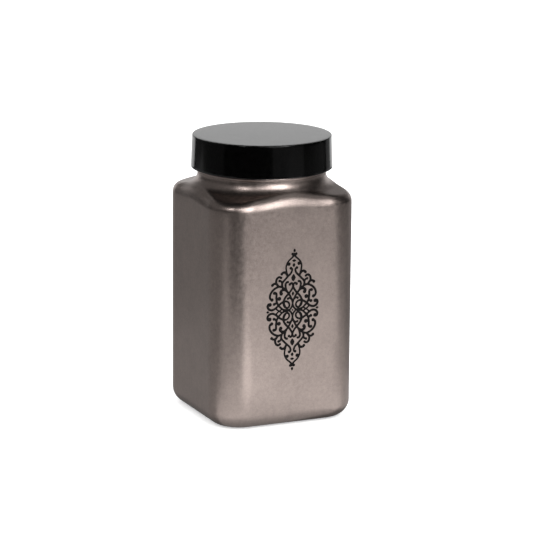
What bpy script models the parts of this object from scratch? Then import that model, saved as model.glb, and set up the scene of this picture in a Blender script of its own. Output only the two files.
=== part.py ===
"""Square storage jar with a round screw neck, a moulded screw lid and the loose sealing disc inside the lid.

Metres, +Z up. The origin is on the floor under the middle of the jar, and the printed front faces -Y. The jar
stands still. The sealing disc rises with the lid, and the lid turns on it as it unscrews.
"""

import math

import bmesh
import bpy
from mathutils import Vector

MM = 0.001

# Glass body: a rounded square prism
BODY_SIDE = 93.0 * MM
BODY_CORNER_RADIUS = 20.8 * MM
HEEL_RADIUS = 9.6 * MM
GLASS_WALL = 3.2 * MM

# Base: a flat ring that bears on the table, round a middle that is pushed up
BEARING_WIDTH = 4.4 * MM
PUSH_UP_RUN = 5.0 * MM
PUSH_UP_HEIGHT = 1.8 * MM
PUSH_UP_SHARE_HALFWAY = 0.8
BASE_THICKNESS = 4.2 * MM

# Shoulder: a soft outer edge, a shallow slope and a fillet into the round neck
SHOULDER_TOP = 149.4 * MM
SHOULDER_EDGE_AT_CORNER = 5.5 * MM
SHOULDER_EDGE_AT_MIDDLE = 11.4 * MM
SHOULDER_SLOPE = math.radians(12.0)
NECK_FILLET_AT_CORNER = 8.4 * MM
NECK_FILLET_AT_MIDDLE = 7.0 * MM
LEAST_INNER_FILLET = 0.5 * MM
LEAST_CORNER_RADIUS = 1.0 * MM

# Round neck and its lip
NECK_RADIUS = 39.25 * MM
NECK_HEIGHT = 19.2 * MM
LIP_ROUND = 1.1 * MM

# Screw thread: two starts, right-handed, the same ridge on the neck and in the lid
THREAD_STARTS = 2
THREAD_LEAD = 12.0 * MM
THREAD_HEIGHT = 1.2 * MM
THREAD_ROOT_WIDTH = 2.6 * MM
THREAD_CREST_WIDTH = 1.2 * MM
THREAD_BELOW_LIP = 3.4 * MM
NECK_THREAD_TURN = math.radians(216.0)
LID_THREAD_TURN = math.radians(180.0)
LID_THREAD_OVERLAP = math.radians(150.0)
THREAD_FADE = math.radians(26.0)
THREAD_START_ANGLE = math.radians(20.0)
THREAD_SUNK = 0.6 * MM

# Clearances
THREAD_SIDE_GAP = 0.6 * MM
THREAD_FLANK_GAP = 0.4 * MM
SEAL_GAP = 0.3 * MM
LINER_EDGE_GAP = 0.5 * MM

# Sealing disc
LINER_THICKNESS = 1.0 * MM

# Lid
LID_HEIGHT = 19.8 * MM
LID_TOP_THICKNESS = 2.2 * MM
LID_WALL_AT_TOP = 1.5 * MM
LID_WALL_AT_RIM = 2.25 * MM
LID_TOP_EDGE_ROUND = 0.45 * MM
LID_RIM_ROUND = 0.4 * MM
LID_INNER_FILLET = 0.5 * MM

# How finely the round shapes are cut
FLAT_STEPS = 8
CORNER_STEPS = 10
HEEL_STEPS = 6
SHOULDER_STEPS = 5
LIP_STEPS = 3
EDGE_STEPS = 2
LID_SIDES = 96
THREAD_STEP = math.radians(6.0)
SMOOTH_BELOW = math.radians(32.0)
SAME_POINT = 0.0005 * MM

# Sizes worked out from those above
HALF_SIDE = BODY_SIDE / 2
NECK_BORE_RADIUS = NECK_RADIUS - GLASS_WALL
FLOOR_HEIGHT = PUSH_UP_HEIGHT + BASE_THICKNESS
LIP_TOP = SHOULDER_TOP + NECK_HEIGHT
LINER_BOTTOM = LIP_TOP + SEAL_GAP
LID_PANEL_UNDERSIDE = LINER_BOTTOM + LINER_THICKNESS + SEAL_GAP
LID_TOP = LID_PANEL_UNDERSIDE + LID_TOP_THICKNESS
LID_BOTTOM = LID_TOP - LID_HEIGHT
LID_INNER_RADIUS = NECK_RADIUS + THREAD_HEIGHT + THREAD_SIDE_GAP
LINER_RADIUS = LID_INNER_RADIUS - LINER_EDGE_GAP
THREAD_FLANK = (THREAD_ROOT_WIDTH - THREAD_CREST_WIDTH) / 2 / THREAD_HEIGHT

# Colours of the finishes: colour, roughness, metallic
LACQUER = ((0.32, 0.275, 0.25, 1.0), 0.42, 0.75)
BLACK_MOULDING = ((0.012, 0.012, 0.013, 1.0), 0.12, 0.0)
PALE_FOAM = ((0.78, 0.77, 0.73, 1.0), 0.8, 0.0)


def clear_scene():
    """Remove every object of the starting scene."""
    for item in list(bpy.data.objects):
        bpy.data.objects.remove(item, do_unlink=True)


def finish(name, look):
    """A Principled material from a colour, a roughness and a metallic value."""
    colour, roughness, metallic = look
    material = bpy.data.materials.new(name)
    material.use_nodes = True
    shader = material.node_tree.nodes["Principled BSDF"]
    shader.inputs["Base Color"].default_value = colour
    shader.inputs["Roughness"].default_value = roughness
    shader.inputs["Metallic"].default_value = metallic
    material.diffuse_color = colour
    return material


def mesh_object(name, shape, material=None):
    """An object from a bmesh, its normals facing out and its round faces shaded smooth."""
    bmesh.ops.remove_doubles(shape, verts=shape.verts, dist=SAME_POINT)
    bmesh.ops.recalc_face_normals(shape, faces=shape.faces)
    mesh = bpy.data.meshes.new(name)
    shape.to_mesh(mesh)
    shape.free()
    mesh.shade_smooth()
    mesh.set_sharp_from_angle(angle=SMOOTH_BELOW)
    item = bpy.data.objects.new(name, mesh)
    bpy.context.scene.collection.objects.link(item)
    if material:
        mesh.materials.append(material)
    return item


def skin(rings):
    """Closed shape through a list of rings, with a flat face over the first and the last."""
    shape = bmesh.new()
    loops = [[shape.verts.new(point) for point in ring] for ring in rings]
    for lower, upper in zip(loops, loops[1:]):
        for here in range(len(lower)):
            after = (here + 1) % len(lower)
            shape.faces.new((lower[here], lower[after], upper[after], upper[here]))
    shape.faces.new(list(reversed(loops[0])))
    shape.faces.new(loops[-1])
    return shape


def arc(centre, radius, start, end, steps):
    """Points of an arc in a half section, each a radius and a height. Angle 0 points away from the axis."""
    points = []
    for step in range(steps + 1):
        angle = start + (end - start) * step / steps
        points.append(centre + radius * Vector((math.cos(angle), math.sin(angle))))
    return points


def outline(inset):
    """Plan of the rounded square drawn in by an inset, counted from the +X face towards +Y."""
    corner = max(BODY_CORNER_RADIUS - inset, LEAST_CORNER_RADIUS)
    half_flat = HALF_SIDE - inset - corner
    points = []
    for side in range(4):
        ahead = Vector((math.cos(side * math.pi / 2), math.sin(side * math.pi / 2)))
        across = Vector((-ahead.y, ahead.x))
        for step in range(FLAT_STEPS):
            along = half_flat * (2 * step / FLAT_STEPS - 1)
            points.append(ahead * (HALF_SIDE - inset) + across * along)
        for step in range(CORNER_STEPS):
            angle = math.pi / 2 * step / CORNER_STEPS
            reach = half_flat + corner * math.cos(angle)
            along = half_flat + corner * math.sin(angle)
            points.append(ahead * reach + across * along)
    return points


def flat_ring(inset, height):
    """One level ring of the body, at an inset and a height."""
    return [Vector((point.x, point.y, height)) for point in outline(inset)]


def heel_rings(inset, floor, radius):
    """Rings of the rounded edge between a floor and the side that stands at an inset, from the floor up."""
    rings = []
    for step in range(HEEL_STEPS + 1):
        angle = math.pi / 2 * step / HEEL_STEPS
        drawn_in = inset + radius * (1 - math.sin(angle))
        rings.append(flat_ring(drawn_in, floor + radius * (1 - math.cos(angle))))
    return rings


def shoulder_section(side_radius, neck_radius, edge_radius, fillet_radius):
    """Half section of the shoulder, from the top of the side up to the foot of the neck.

    The slope stays as it is while there is room for it. Where the side stands close to the neck, as in the
    middle of a face, the edge and the fillet meet and the slope between them turns steeper.
    """
    slope = SHOULDER_SLOPE
    room = side_radius - neck_radius
    rounds = edge_radius + fillet_radius
    run = room - rounds * (1 - math.sin(slope))
    if run < 0:
        slope = math.asin(1 - room / rounds)
        run = 0
    fillet_centre = Vector((neck_radius + fillet_radius, SHOULDER_TOP))
    edge_height = SHOULDER_TOP - rounds * math.cos(slope) - run * math.tan(slope)
    edge_centre = Vector((side_radius - edge_radius, edge_height))
    on_edge = arc(edge_centre, edge_radius, 0, math.pi / 2 - slope, SHOULDER_STEPS)
    on_fillet = arc(fillet_centre, fillet_radius, 1.5 * math.pi - slope, math.pi, SHOULDER_STEPS)
    return on_edge + on_fillet


def shoulder_radii(reach, inset):
    """Radii of the shoulder's edge and of the neck's fillet over a column.

    The edge is softest over the middle of a face, and the fillet over a corner.

    reach is how far the column stands from the axis, and inset how far it stands inside the outer side.
    """
    corner_reach = (HALF_SIDE - BODY_CORNER_RADIUS) * math.sqrt(2) + BODY_CORNER_RADIUS
    share = (reach + inset - HALF_SIDE) / (corner_reach - HALF_SIDE)
    outer_edge = SHOULDER_EDGE_AT_MIDDLE + (SHOULDER_EDGE_AT_CORNER - SHOULDER_EDGE_AT_MIDDLE) * share
    outer_fillet = NECK_FILLET_AT_MIDDLE + (NECK_FILLET_AT_CORNER - NECK_FILLET_AT_MIDDLE) * share
    return max(outer_edge - inset, LEAST_INNER_FILLET), outer_fillet + inset


def shoulder_rings(inset, neck_radius):
    """Rings of the shoulder over the side at an inset. Each column turns its section to its own direction."""
    columns = []
    for point in outline(inset):
        outward = point.normalized()
        edge_radius, fillet_radius = shoulder_radii(point.length, inset)
        section = shoulder_section(point.length, neck_radius, edge_radius, fillet_radius)
        columns.append([Vector((*(outward * radius), height)) for radius, height in section])
    return [list(ring) for ring in zip(*columns)]


def lip_rings():
    """Rings over the lip of the neck, from its outer side to its bore."""
    outer_centre = Vector((NECK_RADIUS - LIP_ROUND, LIP_TOP - LIP_ROUND))
    inner_centre = Vector((NECK_BORE_RADIUS + LIP_ROUND, LIP_TOP - LIP_ROUND))
    rings = []
    for radius, height in arc(outer_centre, LIP_ROUND, 0, math.pi / 2, LIP_STEPS):
        rings.append([Vector((*(point.normalized() * radius), height)) for point in outline(0)])
    for radius, height in arc(inner_centre, LIP_ROUND, math.pi / 2, math.pi, LIP_STEPS):
        rings.append([Vector((*(point.normalized() * radius), height)) for point in outline(GLASS_WALL)])
    return rings


def jar_shape():
    """The glass, from the middle of its underside out, up, over the lip and down its inside to the floor."""
    inner_heel = max(HEEL_RADIUS - GLASS_WALL, LEAST_INNER_FILLET)
    bearing_edge = HEEL_RADIUS + BEARING_WIDTH
    underside = [
        flat_ring(bearing_edge + PUSH_UP_RUN, PUSH_UP_HEIGHT),
        flat_ring(bearing_edge + PUSH_UP_RUN / 2, PUSH_UP_HEIGHT * PUSH_UP_SHARE_HALFWAY),
        flat_ring(bearing_edge, 0),
    ]
    outside = heel_rings(0, 0, HEEL_RADIUS)
    outside += shoulder_rings(0, NECK_RADIUS)
    inside = heel_rings(GLASS_WALL, FLOOR_HEIGHT, inner_heel)
    inside += shoulder_rings(GLASS_WALL, NECK_BORE_RADIUS)
    return skin(underside + outside + lip_rings() + list(reversed(inside)))


def turned(section, sides):
    """Closed round shape from a half section that starts and ends on a flat round face."""
    rings = []
    for radius, height in section:
        ring = []
        for side in range(sides):
            angle = 2 * math.pi * side / sides
            ring.append(Vector((radius * math.cos(angle), radius * math.sin(angle), height)))
        rings.append(ring)
    return skin(rings)


def thread_ridge(root_radius, outward, start_angle, start_height, turn):
    """One helical ridge with a trapezium section. Its ends fade into the wall, where its root is sunk.

    outward is 1 on the outside of the neck and -1 on the inside of the lid.
    """
    steps = round(turn / THREAD_STEP)
    rings = []
    for step in range(steps + 1):
        angle = turn * step / steps
        share = min(1.0, angle / THREAD_FADE, (turn - angle) / THREAD_FADE)
        rise = THREAD_HEIGHT * share - THREAD_SUNK / 2 * (1 - share)
        centre = start_height + THREAD_LEAD * angle / (2 * math.pi)
        ring = []
        for depth, side in ((-THREAD_SUNK, -1), (rise, -1), (rise, 1), (-THREAD_SUNK, 1)):
            radius = root_radius + outward * depth
            height = centre + side * (THREAD_ROOT_WIDTH / 2 - THREAD_FLANK * depth)
            turned_by = start_angle + angle
            ring.append(Vector((radius * math.cos(turned_by), radius * math.sin(turned_by), height)))
        rings.append(ring)
    return skin(rings)


def add_threads(carrier, root_radius, outward, start_angle, start_height, turn):
    """Join one ridge for each start of the thread to the piece that carries it."""
    for start in range(THREAD_STARTS):
        angle = start_angle + 2 * math.pi * start / THREAD_STARTS
        ridge = thread_ridge(root_radius, outward, angle, start_height, turn)
        helper = mesh_object(f"{carrier.name}_thread_{start + 1}", ridge)
        helper.parent = carrier
        helper.hide_render = True
        helper.display_type = "WIRE"
        union = carrier.modifiers.new(helper.name, "BOOLEAN")
        union.operation = "UNION"
        union.object = helper
        union.solver = "EXACT"


def make_jar():
    """The glass jar with the thread on its neck."""
    jar = mesh_object("jar", jar_shape(), finish("metallic_lacquer", LACQUER))
    add_threads(jar, NECK_RADIUS, 1, THREAD_START_ANGLE, neck_thread_start(), NECK_THREAD_TURN)
    return jar


def make_liner(jar):
    """The sealing disc between the lip and the top panel of the lid, its origin on the screw axis."""
    section = [Vector((LINER_RADIUS, 0)), Vector((LINER_RADIUS, LINER_THICKNESS))]
    liner = mesh_object("lid_liner", turned(section, LID_SIDES), finish("liner_foam", PALE_FOAM))
    liner.parent = jar
    liner.location = (0, 0, LINER_BOTTOM)
    return liner


def lid_section():
    """Half section of the lid from the middle of its top, down its skirt and back up inside it.

    Heights count from the rim of the skirt.
    """
    top_radius = LID_INNER_RADIUS + LID_WALL_AT_TOP
    rim_radius = LID_INNER_RADIUS + LID_WALL_AT_RIM
    panel = LID_HEIGHT - LID_TOP_THICKNESS
    top_edge = Vector((top_radius - LID_TOP_EDGE_ROUND, LID_HEIGHT - LID_TOP_EDGE_ROUND))
    outer_rim = Vector((rim_radius - LID_RIM_ROUND, LID_RIM_ROUND))
    inner_rim = Vector((LID_INNER_RADIUS + LID_RIM_ROUND, LID_RIM_ROUND))
    inner_corner = Vector((LID_INNER_RADIUS - LID_INNER_FILLET, panel - LID_INNER_FILLET))
    section = arc(top_edge, LID_TOP_EDGE_ROUND, math.pi / 2, 0, EDGE_STEPS)
    section += arc(outer_rim, LID_RIM_ROUND, 0, -math.pi / 2, EDGE_STEPS)
    section += arc(inner_rim, LID_RIM_ROUND, 1.5 * math.pi, math.pi, EDGE_STEPS)
    section += arc(inner_corner, LID_INNER_FILLET, 0, math.pi / 2, EDGE_STEPS)
    return section


def neck_thread_start():
    """Height of the lower end of the neck's thread."""
    return LIP_TOP - THREAD_BELOW_LIP - THREAD_LEAD * NECK_THREAD_TURN / (2 * math.pi)


def lid_thread_drop():
    """How far the lid's ridges run below the neck's, so that their flanks keep the flank gap."""
    between_walls = THREAD_HEIGHT + THREAD_SIDE_GAP
    return THREAD_ROOT_WIDTH - THREAD_FLANK * between_walls + THREAD_FLANK_GAP


def make_lid(liner):
    """The screw lid with the thread inside its skirt, its origin on the screw axis at the skirt's rim."""
    lid = mesh_object("lid", turned(lid_section(), LID_SIDES), finish("black_moulding", BLACK_MOULDING))
    lid.parent = liner
    lid.location = (0, 0, LID_BOTTOM - LINER_BOTTOM)
    ahead = LID_THREAD_TURN - LID_THREAD_OVERLAP
    start_angle = THREAD_START_ANGLE - ahead
    start_height = neck_thread_start() - THREAD_LEAD * ahead / (2 * math.pi) - lid_thread_drop() - LID_BOTTOM
    add_threads(lid, LID_INNER_RADIUS, -1, start_angle, start_height, LID_THREAD_TURN)
    return lid


def main():
    """Build the jar, its sealing disc and its lid."""
    clear_scene()
    jar = make_jar()
    liner = make_liner(jar)
    make_lid(liner)


main()
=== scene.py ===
"""Looks of a square glass storage jar: metallic lacquer, a printed lozenge and a black screw lid.

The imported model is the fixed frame. Every piece made here stands for one of its nodes or lies on one, so the
overall sizes and places are read from the frame, and only the finer sizes are given here. All lengths are in
metres, +Z is up along the screw axis and the printed front faces -Y.
"""

import logging
import math
from dataclasses import dataclass, replace
from enum import Enum
from functools import partial
from typing import Callable, Iterable, Sequence

import bmesh
import bpy
from mathutils import Matrix, Vector, noise
from mathutils.geometry import delaunay_2d_cdt
from mathutils.kdtree import KDTree


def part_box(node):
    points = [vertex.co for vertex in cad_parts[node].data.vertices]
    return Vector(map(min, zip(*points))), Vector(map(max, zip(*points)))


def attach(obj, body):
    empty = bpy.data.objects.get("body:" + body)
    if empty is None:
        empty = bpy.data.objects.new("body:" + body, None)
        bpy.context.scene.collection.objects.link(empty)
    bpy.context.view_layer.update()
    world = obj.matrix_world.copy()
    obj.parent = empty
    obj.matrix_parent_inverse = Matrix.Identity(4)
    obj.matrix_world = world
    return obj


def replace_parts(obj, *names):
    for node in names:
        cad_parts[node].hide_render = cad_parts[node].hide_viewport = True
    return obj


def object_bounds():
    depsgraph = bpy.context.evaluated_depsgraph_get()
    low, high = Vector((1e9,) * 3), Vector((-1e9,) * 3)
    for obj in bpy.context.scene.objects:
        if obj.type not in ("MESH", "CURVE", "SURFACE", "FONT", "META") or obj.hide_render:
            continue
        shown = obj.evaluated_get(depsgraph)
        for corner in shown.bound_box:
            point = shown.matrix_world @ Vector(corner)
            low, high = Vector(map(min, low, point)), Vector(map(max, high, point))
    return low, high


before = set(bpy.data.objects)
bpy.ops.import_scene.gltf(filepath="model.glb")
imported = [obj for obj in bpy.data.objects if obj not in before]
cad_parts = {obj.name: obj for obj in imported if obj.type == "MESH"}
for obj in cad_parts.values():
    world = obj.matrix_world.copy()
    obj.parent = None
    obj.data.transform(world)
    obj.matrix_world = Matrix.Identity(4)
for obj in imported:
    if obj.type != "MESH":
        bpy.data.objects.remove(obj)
CAD_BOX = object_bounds()

MM = 0.001
FULL_TURN = 2 * math.pi
QUARTER_TURN = math.pi / 2
SAME_PLACE = 0.0005 * MM
PHOTO_PIXELS = 533

log = logging.getLogger("storage_jar")


class Body(Enum):
    """The bodies that the pieces ride on."""

    JAR = "jar"
    LINER = "liner"
    LID = "lid"


class Slot(Enum):
    """The record's material slots."""

    LACQUERED_GLASS = "lacquered_glass"
    BLACK_MOULDING = "black_moulding"
    LINER_FOAM = "liner_foam"


class NodeKind(Enum):
    """The shader nodes that the finishes are mixed from."""

    COORDINATES = "ShaderNodeTexCoord"
    NOISE = "ShaderNodeTexNoise"
    CELLS = "ShaderNodeTexVoronoi"
    RANGE = "ShaderNodeMapRange"
    MIX = "ShaderNodeMix"
    BUMP = "ShaderNodeBump"


class Recipe:
    """A material under construction, with its node tree and its one shader.

    The Mix node's colour sockets share their names with its number sockets, so they go by their places.
    """

    FIRST_COLOUR = 6
    SECOND_COLOUR = 7
    BLENDED_COLOUR = 2

    def __init__(self, name: str) -> None:
        """Start an empty recipe.

        Args:
            name: The material's name.
        """
        self.material = bpy.data.materials.new(name)
        self.material.use_nodes = True
        self.tree = self.material.node_tree
        self.shader = self.tree.nodes["Principled BSDF"]
        self.place = self.add(NodeKind.COORDINATES).outputs["Object"]

    def set(self, **values: object) -> None:
        """Set the shader's own sockets, each by its name with an underscore for each space."""
        for socket, value in values.items():
            self.shader.inputs[socket.replace("_", " ")].default_value = value

    def drive(self, **sources: bpy.types.NodeSocket) -> None:
        """Link outputs to the shader's own sockets, each by its name as above."""
        for socket, source in sources.items():
            self.link(source, self.shader.inputs[socket.replace("_", " ")])

    def add(self, kind: NodeKind) -> bpy.types.Node:
        """Add one node of a kind."""
        return self.tree.nodes.new(kind.value)

    def link(self, source: bpy.types.NodeSocket, target: bpy.types.NodeSocket) -> None:
        """Join an output to an input."""
        self.tree.links.new(source, target)

    def noise(self, size: float, detail: float = 2.0, roughness: float = 0.5) -> bpy.types.NodeSocket:
        """Smooth three-dimensional noise.

        Args:
            size: The size of its largest blotches, in metres.
            detail: How many finer octaves it has.
            roughness: How strong the finer octaves are.

        Returns:
            Its value, from 0 to 1.
        """
        node = self.add(NodeKind.NOISE)
        node.inputs["Scale"].default_value = 1 / size
        node.inputs["Detail"].default_value = detail
        node.inputs["Roughness"].default_value = roughness
        self.link(self.place, node.inputs["Vector"])
        return node.outputs["Fac"]

    def cells(self, size: float) -> bpy.types.Node:
        """Cells of about one size, each with its own random colour.

        Args:
            size: The distance between the middles of neighbouring cells, in metres.

        Returns:
            The node, with its Distance and Color outputs.
        """
        node = self.add(NodeKind.CELLS)
        node.inputs["Scale"].default_value = 1 / size
        self.link(self.place, node.inputs["Vector"])
        return node

    def spread(self, value: bpy.types.NodeSocket, low: float, high: float, start: float = 0.0,
               end: float = 1.0) -> bpy.types.NodeSocket:
        """Map a value from one range to another.

        Args:
            value: The value that is mapped.
            low: What the start of its range becomes.
            high: What the end of its range becomes.
            start: Where its range starts.
            end: Where its range ends.

        Returns:
            The mapped value.
        """
        node = self.add(NodeKind.RANGE)
        node.inputs["From Min"].default_value = start
        node.inputs["From Max"].default_value = end
        node.inputs["To Min"].default_value = low
        node.inputs["To Max"].default_value = high
        self.link(value, node.inputs["Value"])
        return node.outputs["Result"]

    def mixed(self, first: bpy.types.NodeSocket, second: bpy.types.NodeSocket,
              share: float) -> bpy.types.NodeSocket:
        """Mix two values, or the brightness of two colours.

        Args:
            first: The first value.
            second: The second value.
            share: The second value's share, from 0 to 1.

        Returns:
            The mixed value.
        """
        node = self.add(NodeKind.MIX)
        node.inputs["Factor"].default_value = share
        self.link(first, node.inputs["A"])
        self.link(second, node.inputs["B"])
        return node.outputs["Result"]

    def blend(self, share: bpy.types.NodeSocket, first: Sequence[float],
              second: Sequence[float]) -> bpy.types.NodeSocket:
        """Blend two colours.

        Args:
            share: The second colour's share, from 0 to 1.
            first: The first colour, as red, green and blue.
            second: The second colour.

        Returns:
            The blended colour.
        """
        node = self.add(NodeKind.MIX)
        node.data_type = "RGBA"
        node.inputs[self.FIRST_COLOUR].default_value = (*first, 1.0)
        node.inputs[self.SECOND_COLOUR].default_value = (*second, 1.0)
        self.link(share, node.inputs["Factor"])
        return node.outputs[self.BLENDED_COLOUR]

    def bump(self, height: bpy.types.NodeSocket, depth: float, under: bpy.types.NodeSocket | None = None,
             strength: float = 1.0) -> bpy.types.NodeSocket:
        """Turn a height into a tilted normal.

        Args:
            height: The height, from 0 to 1.
            depth: How deep the relief is, in metres.
            under: A normal that this relief lies on.
            strength: How much of the relief shows.

        Returns:
            The normal.
        """
        node = self.add(NodeKind.BUMP)
        node.inputs["Distance"].default_value = depth
        node.inputs["Strength"].default_value = strength
        self.link(height, node.inputs["Height"])
        if under is not None:
            self.link(under, node.inputs["Normal"])
        return node.outputs["Normal"]


@dataclass(frozen=True)
class MetallicLacquer:
    """Satin metallic taupe lacquer, sprayed: fine flakes, a soft mottle and a slight orange peel."""

    dark: tuple[float, float, float] = (0.339, 0.279, 0.257)
    light: tuple[float, float, float] = (0.511, 0.424, 0.388)
    metallic: float = 1.0
    roughness: tuple[float, float] = (0.30, 0.38)
    flake_size: float = 0.75 * MM
    flake_share: float = 0.35
    mottle_size: float = 2.6 * MM
    cloud_size: float = 11.0 * MM
    cloud_share: float = 0.36
    soft_range: tuple[float, float] = (0.26, 0.74)
    grain_size: float = 0.9 * MM
    grain_depth: float = 0.05 * MM
    peel_size: float = 2.2 * MM
    peel_depth: float = 0.008 * MM

    def material(self) -> bpy.types.Material:
        """Mix the lacquer.

        Returns:
            The material.
        """
        recipe = Recipe("metallic_lacquer")
        recipe.set(Metallic=self.metallic)
        mottle = recipe.noise(self.mottle_size, detail=3.0, roughness=0.6)
        clouds = recipe.noise(self.cloud_size)
        soft = recipe.spread(recipe.mixed(mottle, clouds, self.cloud_share), 0.0, 1.0, *self.soft_range)
        share = recipe.mixed(soft, recipe.cells(self.flake_size).outputs["Color"], self.flake_share)
        peel = recipe.bump(recipe.noise(self.peel_size, detail=1.0), self.peel_depth)
        recipe.drive(Base_Color=recipe.blend(share, self.dark, self.light),
                     Roughness=recipe.spread(mottle, *self.roughness, *self.soft_range),
                     Normal=recipe.bump(recipe.noise(self.grain_size), self.grain_depth, under=peel))
        return recipe.material


@dataclass(frozen=True)
class ClearGlass:
    """Clear soda-lime jar glass with a faint green tint and slight ripples from the mould."""

    colour: tuple[float, float, float] = (0.93, 0.965, 0.945)
    roughness: float = 0.02
    refraction: float = 1.52
    ripple_size: float = 6.0 * MM
    ripple_depth: float = 0.02 * MM

    def material(self) -> bpy.types.Material:
        """Mix the glass.

        Returns:
            The material.
        """
        recipe = Recipe("clear_glass")
        recipe.set(Base_Color=(*self.colour, 1.0), Roughness=self.roughness, IOR=self.refraction,
                   Transmission_Weight=1.0)
        recipe.drive(Normal=recipe.bump(recipe.noise(self.ripple_size), self.ripple_depth))
        return recipe.material


@dataclass(frozen=True)
class GlossMoulding:
    """High-gloss black moulding, with the faint waviness and haze of a polished mould."""

    dark: tuple[float, float, float] = (0.0003, 0.0003, 0.0003)
    light: tuple[float, float, float] = (0.0007, 0.0007, 0.0007)
    refraction: float = 1.45
    roughness: tuple[float, float] = (0.10, 0.14)
    wave_size: float = 9.0 * MM
    wave_depth: float = 0.004 * MM
    haze_size: float = 3.0 * MM
    colour_range: tuple[float, float] = (0.35, 0.65)
    haze_range: tuple[float, float] = (0.35, 0.75)

    def material(self) -> bpy.types.Material:
        """Mix the moulding.

        Returns:
            The material.
        """
        recipe = Recipe("gloss_black_moulding")
        recipe.set(IOR=self.refraction)
        clouds = recipe.noise(self.haze_size, detail=6.0, roughness=0.65)
        share = recipe.spread(clouds, 0.0, 1.0, *self.colour_range)
        recipe.drive(Base_Color=recipe.blend(share, self.dark, self.light),
                     Roughness=recipe.spread(clouds, *self.roughness, *self.haze_range),
                     Normal=recipe.bump(recipe.noise(self.wave_size, detail=1.0), self.wave_depth))
        return recipe.material


@dataclass(frozen=True)
class LinerFoam:
    """Pale foamed sheet with fine open pores."""

    dark: tuple[float, float, float] = (0.60, 0.59, 0.55)
    light: tuple[float, float, float] = (0.80, 0.79, 0.755)
    roughness: tuple[float, float] = (0.72, 0.86)
    pore_size: float = 0.5 * MM
    pore_depth: float = 0.06 * MM
    cloud_size: float = 8.0 * MM

    def material(self) -> bpy.types.Material:
        """Mix the foam.

        Returns:
            The material.
        """
        recipe = Recipe("liner_foam")
        pores = recipe.cells(self.pore_size).outputs["Distance"]
        clouds = recipe.noise(self.cloud_size, detail=4.0)
        recipe.drive(Base_Color=recipe.blend(clouds, self.dark, self.light),
                     Roughness=recipe.spread(clouds, *self.roughness),
                     Normal=recipe.bump(pores, self.pore_depth))
        return recipe.material


@dataclass(frozen=True)
class PrintInk:
    """Black screen-print ink: a satin film with the faint tooth of the screen."""

    dark: tuple[float, float, float] = (0.0020, 0.0017, 0.0017)
    light: tuple[float, float, float] = (0.0044, 0.0038, 0.0038)
    refraction: float = 1.16
    roughness: tuple[float, float] = (0.36, 0.52)
    tooth_size: float = 0.25 * MM
    tooth_depth: float = 0.006 * MM
    tooth_range: tuple[float, float] = (0.35, 0.65)

    def material(self) -> bpy.types.Material:
        """Mix the ink.

        Returns:
            The material.
        """
        recipe = Recipe("print_ink")
        recipe.set(IOR=self.refraction)
        tooth = recipe.noise(self.tooth_size, detail=3.0)
        share = recipe.spread(tooth, 0.0, 1.0, *self.tooth_range)
        recipe.drive(Base_Color=recipe.blend(share, self.dark, self.light),
                     Roughness=recipe.spread(tooth, *self.roughness, *self.tooth_range),
                     Normal=recipe.bump(tooth, self.tooth_depth))
        return recipe.material


@dataclass(frozen=True)
class PaleFloor:
    """Plain matt white sheet, lit a little from below so that the jar throws hardly any shadow on it."""

    colour: tuple[float, float, float] = (0.90, 0.90, 0.90)
    glow: float = 0.42
    roughness: float = 0.9

    def material(self) -> bpy.types.Material:
        """Mix the surface.

        Returns:
            The material.
        """
        recipe = Recipe("pale_floor")
        recipe.set(Base_Color=(*self.colour, 1.0), Roughness=self.roughness, Specular_IOR_Level=0.0,
                   Emission_Color=(1.0, 1.0, 1.0, 1.0), Emission_Strength=self.glow)
        return recipe.material


Ring = list[Vector]


def arc(centre: Vector, radius: float, start: float, end: float, steps: int) -> list[Vector]:
    """Points of an arc in a half section, each a radius from the axis and a height.

    Args:
        centre: The arc's centre.
        radius: The arc's radius.
        start: Its first angle. Angle 0 points away from the axis and a quarter turn points up.
        end: Its last angle.
        steps: How many equal steps it has.

    Returns:
        The points, from the first angle to the last.
    """
    angles = (start + (end - start) * step / steps for step in range(steps + 1))
    return [centre + radius * Vector((math.cos(angle), math.sin(angle))) for angle in angles]


def smooth_step(value: float, start: float, end: float) -> float:
    """Rise smoothly from 0 at start to 1 at end.

    Args:
        value: Where it is read.
        start: Where the rise starts.
        end: Where it ends. It may lie below start, and then the step falls.

    Returns:
        The height of the step there.
    """
    share = min(1.0, max(0.0, (value - start) / (end - start)))
    return share * share * (3 - 2 * share)


def put(name: str, data: bpy.types.ID) -> bpy.types.Object:
    """Put a mesh, a lamp or a camera in the scene as an object.

    Args:
        name: The object's name.
        data: What it shows.

    Returns:
        The object.
    """
    thing = bpy.data.objects.new(name, data)
    bpy.context.scene.collection.objects.link(thing)
    return thing


def skin(name: str, rings: Sequence[Ring], crease: float = math.radians(38.0)) -> bpy.types.Object:
    """A closed smooth-shaded piece through a list of rings, with a small face over its first and its last.

    Args:
        name: The piece's name.
        rings: Its rings, all with as many points, in order along its surface.
        crease: The angle past which an edge stays sharp.

    Returns:
        The new object.
    """
    across = len(rings[0])
    points = [point for ring in rings for point in ring]
    faces: list[tuple[int, ...]] = []
    for row in range(len(rings) - 1):
        low, high = row * across, (row + 1) * across
        for here in range(across):
            after = (here + 1) % across
            faces.append((low + here, low + after, high + after, high + here))
    faces.append(tuple(reversed(range(across))))
    faces.append(tuple(range(len(points) - across, len(points))))
    mesh = bpy.data.meshes.new(name)
    mesh.from_pydata(points, [], faces)
    shape = bmesh.new()
    shape.from_mesh(mesh)
    bmesh.ops.remove_doubles(shape, verts=shape.verts, dist=SAME_PLACE)
    bmesh.ops.recalc_face_normals(shape, faces=shape.faces)
    shape.to_mesh(mesh)
    shape.free()
    mesh.shade_smooth()
    mesh.set_sharp_from_angle(angle=crease)
    return put(name, mesh)


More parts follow.
